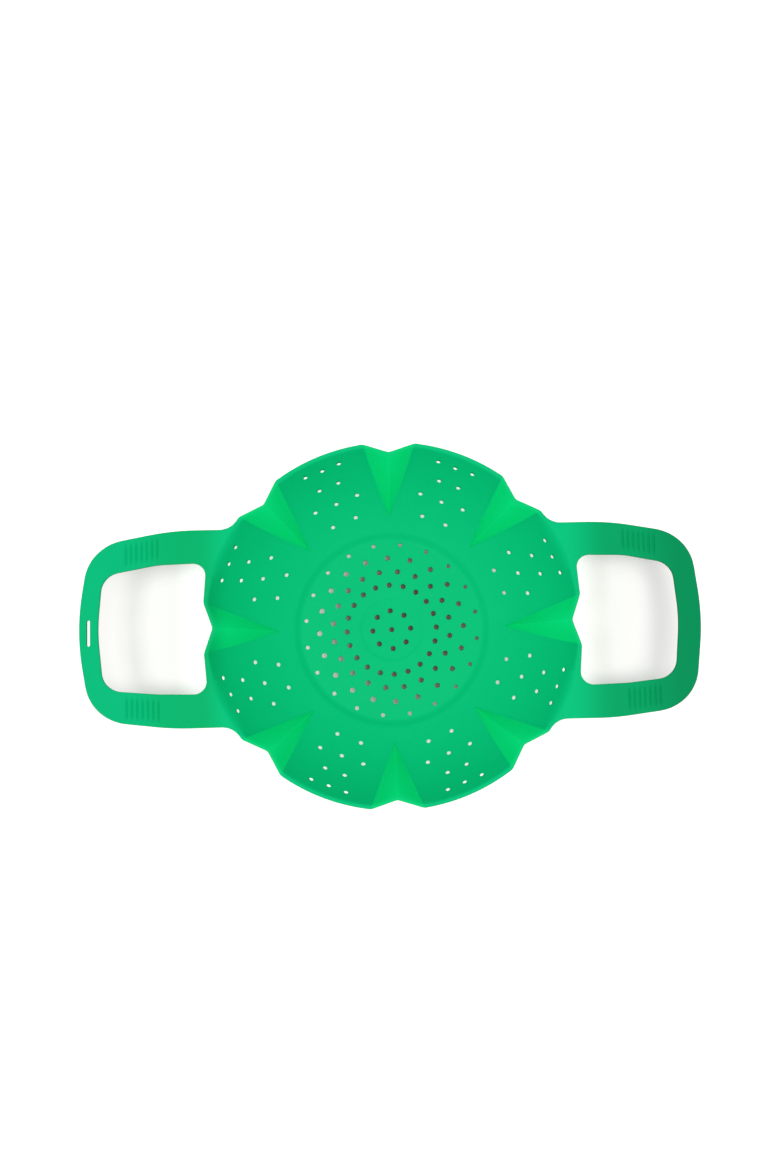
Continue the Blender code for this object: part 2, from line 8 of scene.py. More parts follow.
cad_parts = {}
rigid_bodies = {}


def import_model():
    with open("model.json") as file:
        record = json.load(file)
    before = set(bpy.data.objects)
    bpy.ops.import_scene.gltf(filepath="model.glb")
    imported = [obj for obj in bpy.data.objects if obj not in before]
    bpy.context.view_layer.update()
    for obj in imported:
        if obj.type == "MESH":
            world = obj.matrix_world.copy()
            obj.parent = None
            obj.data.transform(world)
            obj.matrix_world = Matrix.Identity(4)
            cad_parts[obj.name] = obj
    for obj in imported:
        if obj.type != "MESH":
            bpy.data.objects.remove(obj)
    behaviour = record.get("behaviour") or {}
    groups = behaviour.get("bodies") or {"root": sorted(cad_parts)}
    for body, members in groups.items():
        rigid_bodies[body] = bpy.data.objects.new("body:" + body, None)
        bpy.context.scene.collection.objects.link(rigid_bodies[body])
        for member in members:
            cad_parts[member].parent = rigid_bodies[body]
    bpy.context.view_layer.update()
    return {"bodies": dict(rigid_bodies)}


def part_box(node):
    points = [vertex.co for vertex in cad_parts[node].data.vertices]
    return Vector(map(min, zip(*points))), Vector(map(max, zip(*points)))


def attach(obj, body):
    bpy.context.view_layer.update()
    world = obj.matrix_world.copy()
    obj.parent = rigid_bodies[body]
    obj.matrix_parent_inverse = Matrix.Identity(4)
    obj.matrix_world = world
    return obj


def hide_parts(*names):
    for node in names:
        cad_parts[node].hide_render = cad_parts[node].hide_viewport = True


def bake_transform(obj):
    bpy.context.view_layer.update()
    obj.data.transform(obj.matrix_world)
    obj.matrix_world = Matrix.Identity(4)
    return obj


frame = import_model()

# The floor and the low step round it: the flat, perforated middle of the one silicone moulding.
# It is 2.2 mm thick, and its steam holes run along the mould's axis. It climbs 3 mm at its edge
# and runs on into the petals, which fold up from it on eight straight lines.
FLOOR_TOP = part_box("floor")[1].z
FLOOR_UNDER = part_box("floor")[0].z
RIM_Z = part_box("petal_2")[1].z
FLOOR_RADIUS = 0.0610
STEP_HEIGHT = 0.0030
STEP_WIDTH = 0.0032
STEP_LAND = 0.0010
START_SLOPE = math.radians(20.0)
RIM_SLOPE = math.radians(62.0)
RIM_RADIUS = 0.1162
WALL_THICKNESS = 0.0020
PETALS = 8
APEX_SETBACK = 0.0098
SECTOR = 2 * math.pi / PETALS
STEP_RADIUS = FLOOR_RADIUS + STEP_WIDTH
WALL_START_RADIUS = STEP_RADIUS + STEP_LAND
WALL_START_Z = FLOOR_TOP + STEP_HEIGHT
WALL_ARC = (RIM_RADIUS - WALL_START_RADIUS) / (math.sin(RIM_SLOPE) - math.sin(START_SLOPE))
ARC_CENTRE_RADIUS = WALL_START_RADIUS - WALL_ARC * math.sin(START_SLOPE)
ARC_CENTRE_Z = WALL_START_Z + WALL_ARC * math.cos(START_SLOPE)
APEX_RADIUS = WALL_START_RADIUS + APEX_SETBACK
CHORD_DISTANCE = APEX_RADIUS * math.cos(SECTOR / 2)
TURNS = 384
MERGE = 0.000005
STEP_POINTS = 12
STEP_SOFT_START = 0.0600
STEP_SOFT_END = 0.0661
DISH_DEPTH = 0.0007
DISH_START = 0.0190
DISH_END = 0.0226
SMOOTH_UP_TO = math.radians(32.0)
SHARP_EDGE = math.radians(60.0)

FLOOR_HOLE = 0.0035
EDGE_HOLE = 0.0027
FLOOR_HOLE_MARGIN = 0.0032
RING_PITCH = 0.0092
HOLES_PER_RING = 20
CLUSTER_RADIUS = 0.0128
CLUSTER_HOLES = 8
CLUSTER_TURN_SHARE = 0.067
RING_TURN_SHARES = (0.6, 0.1, 0.6, 0.1)
DRILL_SIDES = 28
DRILL_LENGTH = 4 * RIM_Z
FLOOR_HOLE_ROUND = 0.00030
HOLE_ROUND_STEPS = 1
WING_START = 0.0480
WING_END = 0.0600


def polar(radius, azimuth):
    return Vector((radius * math.cos(azimuth), radius * math.sin(azimuth)))


def turned(point, angle):
    cosine, sine = math.cos(angle), math.sin(angle)
    return Vector((point.x * cosine - point.y * sine, point.x * sine + point.y * cosine))


def wall_food(radius):
    """Height of the wall's food side: an arc that steepens to the rim, then its tangent."""
    if radius > RIM_RADIUS:
        return RIM_Z + (radius - RIM_RADIUS) * math.tan(RIM_SLOPE)
    return ARC_CENTRE_Z - math.sqrt(WALL_ARC**2 - (radius - ARC_CENTRE_RADIUS) ** 2)


def wall_outside(radius):
    arc = WALL_ARC + WALL_THICKNESS
    last = ARC_CENTRE_RADIUS + arc * math.sin(RIM_SLOPE)
    if radius > last:
        return RIM_Z + (radius - last) * math.tan(RIM_SLOPE)
    return ARC_CENTRE_Z - math.sqrt(arc**2 - (radius - ARC_CENTRE_RADIUS) ** 2)


def activate(piece):
    bpy.ops.object.select_all(action="DESELECT")
    piece.select_set(True)
    bpy.context.view_layer.objects.active = piece


def copy_of(piece, name):
    other = piece.copy()
    other.data = piece.data.copy()
    other.name = name
    bpy.context.scene.collection.objects.link(other)
    return other


def edit(select="SELECT"):
    bpy.ops.object.mode_set(mode="EDIT")
    bpy.ops.mesh.select_all(action=select)


def leave():
    bpy.ops.object.mode_set(mode="OBJECT")


def merge_faces(piece, is_chosen):
    """Makes one face of neighbouring faces whose middles is_chosen picks."""
    edit("DESELECT")
    bpy.ops.mesh.select_mode(type="FACE")
    leave()
    for face in piece.data.polygons:
        face.select = is_chosen(face.center)
    bpy.ops.object.mode_set(mode="EDIT")
    bpy.ops.mesh.dissolve_faces()
    leave()


def round_edges(piece, is_chosen, offset, steps):
    """Rounds the sharp, level edges of a piece whose middles, seen in plan, is_chosen picks."""
    edit("DESELECT")
    bpy.ops.mesh.select_mode(type="EDGE")
    bpy.ops.mesh.edges_select_sharp(sharpness=SHARP_EDGE)
    leave()
    verts = piece.data.vertices
    for edge in piece.data.edges:
        if edge.select:
            first, last = (verts[index].co for index in edge.vertices)
            level = abs(first.z - last.z) < MERGE
            edge.select = level and is_chosen(((first + last) / 2).to_2d())
    bpy.ops.object.mode_set(mode="EDIT")
    bpy.ops.mesh.bevel(
        offset=offset, segments=steps, affect="EDGES", clamp_overlap=False, loop_slide=False
    )
    leave()


def cut_out(piece, cutter):
    """Takes a closed cutter out of a piece, and the cutter away."""
    activate(piece)
    cut = piece.modifiers.new("cut", "BOOLEAN")
    cut.operation = "DIFFERENCE"
    cut.solver = "EXACT"
    cut.object = cutter
    bpy.ops.object.modifier_apply(modifier="cut")
    bpy.data.objects.remove(cutter)


def keep_side(piece, place, direction):
    """Cuts a piece on an upright plane and keeps the side that direction points to."""
    activate(piece)
    edit()
    bpy.ops.mesh.bisect(
        plane_co=(place.x, place.y, 0), plane_no=(direction.x, direction.y, 0),
        use_fill=True, clear_inner=True, threshold=MERGE,
    )
    leave()
    return piece


def drill(piece, holes, rim_round):
    """Drills holes (place, diameter, share). The share narrows a hole towards the basket's middle."""
    bpy.ops.object.select_all(action="DESELECT")
    pins = []
    for place, diameter, share in holes:
        bpy.ops.mesh.primitive_cylinder_add(
            vertices=DRILL_SIDES, radius=diameter / 2, depth=DRILL_LENGTH
        )
        pin = bpy.context.object
        outward = place.to_3d().normalized() if place.length > MERGE else Vector((1, 0, 0))
        pin.data.transform(Matrix.Translation(place.to_3d()) @ Matrix.Scale(share, 4, outward))
        pins.append(pin)
    for pin in pins:
        pin.select_set(True)
    bpy.ops.object.join()
    cut_out(piece, bpy.context.object)

    def on_hole(middle):
        return any((middle - place).length < diameter / 2 + MERGE for place, diameter, _ in holes)

    round_edges(piece, on_hole, rim_round, HOLE_ROUND_STEPS)


def blend_line(first, last):
    """Points of a smooth line from one (radius, height, slope) to another."""
    run = last[0] - first[0]
    points = []
    for step in range(STEP_POINTS + 1):
        share = step / STEP_POINTS
        late = share * share * (3 - 2 * share)
        height = first[1] * (1 - late) + last[1] * late
        height += run * share * (1 - share) * ((1 - share) * first[2] - share * last[2])
        points.append((first[0] + run * share, height))
    return points


def floor_profile():
    """The food side from the middle outwards, then the underside back again."""
    slope = math.tan(math.asin((STEP_SOFT_END - ARC_CENTRE_RADIUS) / WALL_ARC))
    top = [(0.0, FLOOR_TOP - DISH_DEPTH)]
    top += blend_line((DISH_START, FLOOR_TOP - DISH_DEPTH, 0.0), (DISH_END, FLOOR_TOP, 0.0))
    step_end = (STEP_SOFT_END, wall_food(STEP_SOFT_END), slope)
    top += blend_line((STEP_SOFT_START, FLOOR_TOP, 0.0), step_end)
    run = APEX_RADIUS + STEP_LAND - STEP_SOFT_END
    arc = [STEP_SOFT_END + run * step / STEP_POINTS for step in range(STEP_POINTS + 1)]
    top += [(radius, wall_food(radius)) for radius in arc[1:]]
    under = [(radius, wall_outside(radius)) for radius in reversed(arc)]
    under += [(FLOOR_RADIUS + STEP_WIDTH / 2, FLOOR_UNDER), (0.0, FLOOR_UNDER)]
    return top + under


def on_food_side(middle, start, end):
    """True on the floor's food side between two radii."""
    return middle.z > FLOOR_UNDER + MERGE and start < middle.xy.length < end


def floor_holes():
    """The steam holes in the floor."""
    turn = CLUSTER_TURN_SHARE * 2 * math.pi / CLUSTER_HOLES
    rings = [(0.0, 1, 0.0, FLOOR_HOLE), (CLUSTER_RADIUS, CLUSTER_HOLES, turn, FLOOR_HOLE)]
    for ring, turn_share in enumerate(RING_TURN_SHARES):
        radius = FLOOR_RADIUS - FLOOR_HOLE_MARGIN - ring * RING_PITCH
        turn = turn_share * 2 * math.pi / HOLES_PER_RING
        rings.append((radius, HOLES_PER_RING, turn, FLOOR_HOLE if ring else EDGE_HOLE))
    return [
        (polar(radius, turn + 2 * math.pi * hole / count), diameter, 1.0)
        for radius, count, turn, diameter in rings
        for hole in range(count)
    ]


profile = floor_profile()
bpy.ops.object.select_all(action="DESELECT")
bpy.ops.mesh.primitive_circle_add(vertices=len(profile), radius=FLOOR_RADIUS)
floor = bpy.context.object
for vert, (radius, height) in zip(floor.data.vertices, profile):
    vert.co = (radius, 0, height)
edit()
bpy.ops.mesh.spin(steps=TURNS, angle=2 * math.pi, center=(0, 0, 0), axis=(0, 0, 1))
bpy.ops.mesh.select_all(action="SELECT")
bpy.ops.mesh.remove_doubles(threshold=MERGE)
bpy.ops.mesh.delete_loose(use_verts=True, use_edges=True, use_faces=False)
bpy.ops.mesh.select_all(action="SELECT")
bpy.ops.mesh.normals_make_consistent(inside=False)
leave()
merge_faces(floor, lambda middle: middle.z < FLOOR_UNDER + MERGE)
merge_faces(floor, lambda middle: on_food_side(middle, 0.0, DISH_START))
merge_faces(floor, lambda middle: on_food_side(middle, DISH_END, STEP_SOFT_START) and middle.y > 0)
merge_faces(floor, lambda middle: on_food_side(middle, DISH_END, STEP_SOFT_START) and middle.y < 0)
for number in range(PETALS):
    outward = polar(1.0, (number + 0.5) * SECTOR)
    keep_side(floor, outward * CHORD_DISTANCE, -outward)
drill(floor, floor_holes(), FLOOR_HOLE_ROUND)


class Socket:
    """A shader value. Sums and products of values add the nodes that work them out."""

    def __init__(self, shader, output):
        self.shader = shader
        self.output = output

    def math(self, operation, first, second):
        return self.shader.node("ShaderNodeMath", {"operation": operation}, {0: first, 1: second})[0]

    def __add__(self, other):
        return self.math("ADD", self, other)

    def __radd__(self, other):
        return self.math("ADD", other, self)

    def __sub__(self, other):
        return self.math("SUBTRACT", self, other)

    def __rsub__(self, other):
        return self.math("SUBTRACT", other, self)

    def __mul__(self, other):
        return self.math("MULTIPLY", self, other)

    def __rmul__(self, other):
        return self.math("MULTIPLY", other, self)


class Shader:
    """Adds nodes to one node tree."""

    def __init__(self, tree):
        self.tree = tree
        self.principled = tree.nodes.get("Principled BSDF")

    def node(self, kind, settings=None, sockets=None):
        made = self.tree.nodes.new(kind)
        for name, value in (settings or {}).items():
            setattr(made, name, value)
        for key, value in (sockets or {}).items():
            if isinstance(value, Socket):
                self.tree.links.new(value.output, made.inputs[key])
            else:
                made.inputs[key].default_value = value
        return [Socket(self, output) for output in made.outputs]

    def link(self, value, name):
        self.tree.links.new(value.output, self.principled.inputs[name])

    def noise(self, place, size, detail):
        settings = {"Vector": place, "Scale": 1 / size, "Detail": detail}
        return self.node("ShaderNodeTexNoise", {}, settings)[0]

    def mix(self, share, first, last):
        sides = {"A": first, "B": last}
        sides = {key: (*side, 1) if isinstance(side, tuple) else side for key, side in sides.items()}
        return self.node("ShaderNodeMix", {"data_type": "RGBA"}, {"Factor": share, **sides})[2]

    def fade(self, value, ends):
        """0 at the first end and 1 at the second, with a soft start and stop."""
        limits = {"Value": value, "From Min": ends[0], "From Max": ends[1]}
        return self.node("ShaderNodeMapRange", {"interpolation_type": "SMOOTHSTEP"}, limits)[0]


GRAIN_SIZE = 0.0005
GRAIN_DETAIL = 2.0
GRAIN_ROUGHNESS = 0.10
GRAIN_STRENGTH = 0.06
GRAIN_DEPTH = 0.0001
CLOUD_SIZE = 0.030
CLOUD_DETAIL = 3.0
CLOUD_SHARE = 0.03
LEAST_ROUGHNESS = 0.50
SHINE = 0.03
BOWL_GREEN = (0.001, 0.475, 0.178)
# Painted shade, set by each point's X at rest: the green is drawn darker at the left arm's root, a little
# darker on the left handle, and darker and darker out to the right crossbar, where less light falls.
PAINTED_SHADE_GREEN = (0.001, 0.395, 0.130)
LEFT_HANDLE_SHADE_GREEN = (0.001, 0.435, 0.172)
RIGHT_SHADE_GREEN = (0.001, 0.325, 0.114)
LEFT_ROOT_SHADE_FADE = (-0.104, -0.122)
LEFT_HANDLE_SHADE_FADE = (-0.138, -0.165)
RIGHT_SHADE_FADE = (0.110, 0.140)
RIGHT_BAR_SHADE_GREEN = (0.001, 0.245, 0.086)
RIGHT_BAR_SHADE_FADE = (0.152, 0.185)
# Painted light on the facets: it fades in across the crease, and eases off towards the flat lip.
PLEAT_LIGHT_FADE = (-0.0016, 0.0016)
LIP_LIGHT_FADE = (0.0012, 0.0002)


def silicone(name, colour, pleat_light_colour=None, lip_light_colour=None):
    """Matte silicone. Painted shade darkens its green at the left arm's root, on the left handle and most
    out along the right handle, and painted light lightens it on the pleats' facets.
    """
    material = bpy.data.materials.new(name)
    material.use_nodes = True
    tree = material.node_tree
    shader = Shader(tree)

    rest_x = shader.node("ShaderNodeAttribute", {"attribute_name": "rest_x"})[2]
    from_crease = shader.node("ShaderNodeAttribute", {"attribute_name": "from_crease"})[2]
    rest_z = shader.node("ShaderNodeAttribute", {"attribute_name": "rest_z"})[2]
    # Painted light: the facets are drawn lighter than the bowl from their crease in, and a little less
    # light at their flat lip.
    near_lip = shader.fade(RIM_Z - rest_z, LIP_LIGHT_FADE)
    pleat = shader.mix(near_lip, pleat_light_colour or colour, lip_light_colour or colour)
    lit_and_shaded_green = shader.mix(shader.fade(from_crease, PLEAT_LIGHT_FADE), colour, pleat)
    # Painted shade: darker at the left arm's root, on the left handle and most out on the right handle.
    lit_and_shaded_green = shader.mix(shader.fade(rest_x, LEFT_ROOT_SHADE_FADE), lit_and_shaded_green, PAINTED_SHADE_GREEN)
    lit_and_shaded_green = shader.mix(shader.fade(rest_x, LEFT_HANDLE_SHADE_FADE), lit_and_shaded_green, LEFT_HANDLE_SHADE_GREEN)
    lit_and_shaded_green = shader.mix(shader.fade(rest_x, RIGHT_SHADE_FADE), lit_and_shaded_green, RIGHT_SHADE_GREEN)
    lit_and_shaded_green = shader.mix(shader.fade(rest_x, RIGHT_BAR_SHADE_FADE), lit_and_shaded_green, RIGHT_BAR_SHADE_GREEN)
    place = shader.node("ShaderNodeTexCoord")[3]
    cloud = shader.noise(place, CLOUD_SIZE, CLOUD_DETAIL)
    grain = shader.noise(place, GRAIN_SIZE, GRAIN_DETAIL)
    tone = 1 + CLOUD_SHARE * (2 * cloud - 1)
    toned = shader.node("ShaderNodeVectorMath", {"operation": "SCALE"}, {0: lit_and_shaded_green, "Scale": tone})[0]
    shader.link(toned, "Base Color")
    shader.link(LEAST_ROUGHNESS + grain * GRAIN_ROUGHNESS, "Roughness")
    relief = {"Strength": GRAIN_STRENGTH, "Distance": GRAIN_DEPTH, "Height": grain}
    shader.link(shader.node("ShaderNodeBump", {}, relief)[0], "Normal")
    shader.principled.inputs["Specular IOR Level"].default_value = SHINE
    return material


def keep(piece, name, values):
    """Keeps a number per point for the material to read."""
    kept = piece.data.attributes.new(name, "FLOAT", "POINT")
    kept.data.foreach_set("value", values)


def finish_piece(piece, material):
    """Smooth shading, the material, and each point's X and Z at rest."""
    activate(piece)
    piece.data.materials.clear()
    piece.data.materials.append(material)
    bpy.ops.object.shade_smooth_by_angle(angle=SMOOTH_UP_TO)
    keep(piece, "rest_x", [vert.co.x for vert in piece.data.vertices])
    keep(piece, "rest_z", [vert.co.z for vert in piece.data.vertices])


bowl_silicone = silicone("bowl_silicone", BOWL_GREEN)
for name, low, high in (
    ("floor_middle", -WING_START, WING_START),
    ("floor_left", None, -WING_START),
    ("floor_right", WING_START, None),
):
    piece = copy_of(floor, name)
    if low is not None:
        keep_side(piece, Vector((low, 0.0)), Vector((1.0, 0.0)))
    if high is not None:
        keep_side(piece, Vector((high, 0.0)), Vector((-1.0, 0.0)))
    finish_piece(piece, bowl_silicone)
    if name == "floor_middle":
        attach(piece, "root")
    else:
        side = -1 if name == "floor_left" else 1
        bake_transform(piece)
    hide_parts("floor", "step_ring")
bpy.data.objects.remove(floor)

# The petals' shared form, and the front and back petals with the two facets that each carries.
# Each is a stretch of the same wall, 2 mm thick, cut on its creases and stiffened by a flat lip. It is
# laid out as a flat sheet with a rounded outer edge, and then pressed between the wall's two faces.
PLEAT_WIDTH = 0.0318
NOTCH_DEPTH = 0.0066
PLEAT_THICKNESS = 0.0015
LIP_WIDTH = 0.0024
LIP_HEIGHT = 0.0020
HANDLE_PULL = 0.0018
HANDLE_THICKNESS = 0.0028
LIP_BEND = 0.0015
ARM_BEND = 0.0060
CREASE_BEND_AT_APEX = 0.0003
CREASE_BEND_AT_RIM = 0.0034
RIDGE_BEND = 0.0005
RIDGE_RELIEF = 0.0034
RIDGE_RELIEF_SHARE = 0.8
CORNER_BEND = 0.0007
NOTCH_BEND = 0.0009
EDGE_ROUND = 0.0006
EDGE_ROUND_STEPS = 3
ON_RIM = 0.00003
RIM_ROWS = (0.0, 0.0008, 0.0013, 0.0018, 0.0023, 0.0028, 0.0033, 0.0039, 0.0047, 0.0060)
ROW_PITCH = 0.0020
COLUMNS = 28
FACET_COLUMNS = 22
ARC_POINTS = 12
NOTCH_RADIUS = RIM_RADIUS - NOTCH_DEPTH
EDGE_RADIUS = RIM_RADIUS + LIP_WIDTH
PLEAT_HALF = math.asin(PLEAT_WIDTH / 2 / RIM_RADIUS)
PETAL_HALF = SECTOR / 2 - PLEAT_HALF
PULL = HANDLE_PULL / RIM_RADIUS
APEX = polar(APEX_RADIUS, SECTOR / 2)
APEX_Z = wall_food(APEX_RADIUS)
CREASE = polar(RIM_RADIUS, PETAL_HALF) - APEX
RIDGE = polar(NOTCH_RADIUS, SECTOR / 2) - APEX
CORNER = polar(EDGE_RADIUS, PLEAT_HALF)
NOTCH = Vector((NOTCH_RADIUS + LIP_WIDTH, 0.0))
MOUTH = Vector((0.1172, 0.0416))
MOUTH_ROUND = 0.0080
ARM_FROM = 0.0300
ARM_FULL = 0.0390
ARM_LAST = 0.0615
ARM_OVER = 0.0670

WALL_HOLE = 0.0027
WALL_HOLE_ROUND = 0.00015
WALL_ROW_PITCH = 0.0148
WALL_HOLE_RIM_MARGIN = 0.0102
WALL_HOLE_PITCH = 0.0116
WALL_ROW_HOLES = (3, 2, 3, 2)
ROW_WIDENING_SHARE = 0.145


def lower(first, second, bend):
    """The lower of two heights, with the corner between them rounded."""
    near = max(bend - abs(first - second), 0.0) / bend
    return min(first, second) - near * near * bend / 4


def higher(first, second, bend):
    return -lower(-first, -second, bend)


def ramp(value, first, last):
    share = min(max((value - first) / (last - first), 0.0), 1.0)
    return share * share * (3 - 2 * share)


def unpull(place):
    return Vector((place.x / (1 + PULL), place.y / (1 - PULL)))


def pull(place):
    """The handles draw the rim out along X, and it narrows as much along Y."""
    azimuth = math.atan2(place.y, place.x) % SECTOR - SECTOR / 2
    base = CHORD_DISTANCE / math.cos(azimuth)
    share = min(max((place.length - base) / (NOTCH_RADIUS - base), 0.0), 1.0)
    return Vector((place.x * (1 + share * PULL), place.y * (1 - share * PULL)))


def ray_to_line(azimuth, first, last):
    """Distance from the centre to a line, along an azimuth."""
    along = last - first
    return first.cross(along) / polar(1.0, azimuth).cross(along)


def edge_radius(azimuth):
    """Distance to the rim's outer edge: an arc on each petal, and a rounded notch on each pleat."""
    aside = abs((azimuth + SECTOR / 2) % SECTOR - SECTOR / 2)
    in_loop = abs(math.cos(azimuth)) > math.cos(SECTOR / 2)
    petal = ray_to_line(aside, CORNER, unpull(MOUTH)) if in_loop else EDGE_RADIUS
    pleat = higher(ray_to_line(aside, NOTCH, CORNER), ray_to_line(-aside, NOTCH, CORNER), NOTCH_BEND)
    return lower(petal, pleat, CORNER_BEND)


def arm_share(place):
    """1 where a handle's arm grows out of the rim, 0 along the free rim."""
    aside = abs(place.y)
    if abs(place.x) < abs(place.y):
        return 0.0
    return ramp(aside, ARM_FROM, ARM_FULL) * (1 - ramp(aside, ARM_LAST, ARM_OVER))


def facet_height(local):
    """Height of the ruled facet between its crease and its ridge, run on past both."""
    away = local - APEX
    whole = CREASE.cross(RIDGE)
    by_crease = away.cross(RIDGE) / whole
    by_ridge = CREASE.cross(away) / whole
    share = by_crease + by_ridge
    if share < MERGE / RIM_RADIUS or by_ridge < -share:
        return None, 0.0
    across = by_ridge / share
    crease = wall_food((APEX + CREASE * share).length)
    ridge = APEX_Z + share * (RIM_Z - APEX_Z)
    return crease + across * (ridge - crease), share


crease_3d = Vector((CREASE.x, CREASE.y, RIM_Z - APEX_Z))
ridge_3d = Vector((RIDGE.x, RIDGE.y, RIM_Z - APEX_Z))
FACET_DROP = PLEAT_THICKNESS / abs(crease_3d.cross(ridge_3d).normalized().z)


def pressed(place):
    """Heights of the outside and of the food side at a place of the flat sheet."""
    azimuth = math.atan2(place.y, place.x) % SECTOR - SECTOR / 2
    radius = place.length
    food = wall_food(radius)
    outside = wall_outside(radius)
    facet, share = facet_height(polar(radius, abs(azimuth)))
    if facet is not None:
        mirrored, _ = facet_height(polar(radius, SECTOR - abs(azimuth)))
        if mirrored is not None:
            facet = lower(facet, mirrored, RIDGE_BEND)
        bend = CREASE_BEND_AT_APEX + min(share, 1.0) * (CREASE_BEND_AT_RIM - CREASE_BEND_AT_APEX)
        food = higher(food, facet, bend)
        from_ridge = radius * math.sin(SECTOR / 2 - abs(azimuth))
        groove = RIDGE_RELIEF_SHARE * (1 - ramp(from_ridge, 0, RIDGE_RELIEF))
        outside = higher(outside, facet - FACET_DROP, bend) + groove * FACET_DROP
    arm = arm_share(place)
    bend = LIP_BEND + arm * (ARM_BEND - LIP_BEND)
    food = lower(food, RIM_Z, bend)
    thick = LIP_HEIGHT + arm * (HANDLE_THICKNESS - LIP_HEIGHT)
    return lower(outside, RIM_Z - thick, bend), food


def press(piece):
    """Moves a flat sheet, HANDLE_THICKNESS thick, into the moulding's form."""
    for vert in piece.data.vertices:
        flat = vert.co.to_2d()
        outside, food = pressed(flat)
        share = vert.co.z / HANDLE_THICKNESS
        plan = pull(flat)
        vert.co = (plan.x, plan.y, outside + share * (food - outside))


def grid(columns, rows, place_of):
    """A flat grid whose points place_of(column, row) sets out."""
    bpy.ops.object.select_all(action="DESELECT")
    bpy.ops.mesh.primitive_grid_add(x_subdivisions=columns, y_subdivisions=rows, size=2)
    flat = bpy.context.object
    for vert in flat.data.vertices:
        place = place_of(round((vert.co.x + 1) / 2 * columns), round((vert.co.y + 1) / 2 * rows))
        vert.co = (place.x, place.y, 0)
    return flat


def sheet(flats, name, is_outer):
    """Joins flat grids, makes them HANDLE_THICKNESS thick and rounds the edges that is_outer picks."""
    bpy.ops.object.select_all(action="DESELECT")
    for flat in flats:
        flat.select_set(True)
    bpy.context.view_layer.objects.active = flats[0]
    if len(flats) > 1:
        bpy.ops.object.join()
    piece = bpy.context.object
    piece.name = name
    edit()
    bpy.ops.mesh.remove_doubles(threshold=MERGE)
    bpy.ops.mesh.extrude_region_move(TRANSFORM_OT_translate={"value": (0, 0, HANDLE_THICKNESS)})
    bpy.ops.mesh.select_all(action="SELECT")
    bpy.ops.mesh.normals_make_consistent(inside=False)
    leave()
    round_edges(piece, is_outer, EDGE_ROUND, EDGE_ROUND_STEPS)
    return piece


def crease_cut(pleat, side):
    """A crease's apex and the direction from it into its petal. Side is -1 or 1, as seen from the pleat."""
    petal = pleat + side * SECTOR / 2
    apex = turned(Vector((APEX.x, -side * APEX.y)), petal)
    along = turned(Vector((CREASE.x, -side * CREASE.y)), petal)
    return apex, Vector((-along.y, along.x)) * side


CREASE_END_SHARES = (0.9, 1.2)
HALVINGS = 40


def crease_line(pleat, side):
    """The crease from its apex to where its line leaves the rim's outer edge."""
    apex, inward = crease_cut(pleat, side)
    along = Vector((inward.y, -inward.x)) * side
    near, far = CREASE_END_SHARES
    for _ in range(HALVINGS):
        middle = (near + far) / 2
        place = apex + along * middle
        if place.length < edge_radius(math.atan2(place.y, place.x)):
            near = middle
        else:
            far = middle
    return apex, apex + along * near


start, end = crease_line(0.0, 1)
CREASE_LENGTH = (end - start).length
count = round((CREASE_LENGTH - RIM_ROWS[-1]) / ROW_PITCH)
ROWS = [(1 - RIM_ROWS[-1] / CREASE_LENGTH) * row / count for row in range(count)]
ROWS += [1 - width / CREASE_LENGTH for width in reversed(RIM_ROWS)]


def azimuth_of(place, near):
    """A place's azimuth, within half a turn of another."""
    return near + (math.atan2(place.y, place.x) - near + math.pi) % (2 * math.pi) - math.pi


def petal_sheet(azimuth, shares, rim):
    """A petal's flat grid, with columns at the given shares of its rim, and the columns' rim points."""
    low_apex, low_end = crease_line(azimuth - SECTOR / 2, 1)
    high_apex, high_end = crease_line(azimuth + SECTOR / 2, -1)
    first, last = azimuth_of(low_end, azimuth), azimuth_of(high_end, azimuth)
    azimuths = [first + (last - first) * share for share in shares]
    tips = [polar(rim(place), place) for place in azimuths]

    def place_of(column, row):
        foot = low_apex.lerp(high_apex, shares[column])
        return foot.lerp(tips[column], ROWS[row])

    return grid(len(shares) - 1, len(ROWS) - 1, place_of), tips


def facet_sheet(pleat, side):
    apex, end = crease_line(pleat, side)
    first = azimuth_of(end, pleat)

    def place_of(column, row):
        azimuth = first + (pleat - first) * column / FACET_COLUMNS
        return apex.lerp(polar(edge_radius(azimuth), azimuth), ROWS[row])

    return sheet([grid(FACET_COLUMNS, len(ROWS) - 1, place_of)], "facet", on_rim)


def on_rim(place):
    """True on the rim's outer edge, away from the creases and ridges that run up to it."""
    return abs(place.length - edge_radius(math.atan2(place.y, place.x))) < ON_RIM


def wall_holes(azimuth):
    """Ten holes to a petal, square to the wall, in straight staggered rows evenly spaced along it."""
    places = []
    for row, count in enumerate(WALL_ROW_HOLES):
        slope = RIM_SLOPE - (WALL_HOLE_RIM_MARGIN + row * WALL_ROW_PITCH) / WALL_ARC
        out = ARC_CENTRE_RADIUS + WALL_ARC * math.sin(slope)
        for hole in range(count):
            offset = (hole - (count - 1) / 2) * WALL_HOLE_PITCH * (1 + row * ROW_WIDENING_SHARE)
            places.append((turned(Vector((out, offset)), azimuth), WALL_HOLE, math.cos(slope)))
    return places


# Painted light: the facets are the bowl's own silicone, drawn lighter where the light falls on them, with a
# little less painted light at their flat lip.
PLEAT_LIGHT_GREEN = (0.001, 0.665, 0.192)
PLEAT_LIP_LIGHT_GREEN = (0.001, 0.550, 0.168)
lit_pleat_silicone = silicone("lit_pleat_silicone", BOWL_GREEN, PLEAT_LIGHT_GREEN, PLEAT_LIP_LIGHT_GREEN)
FOLD_MARGIN = 0.0002
FOLD_REACH = 0.0045


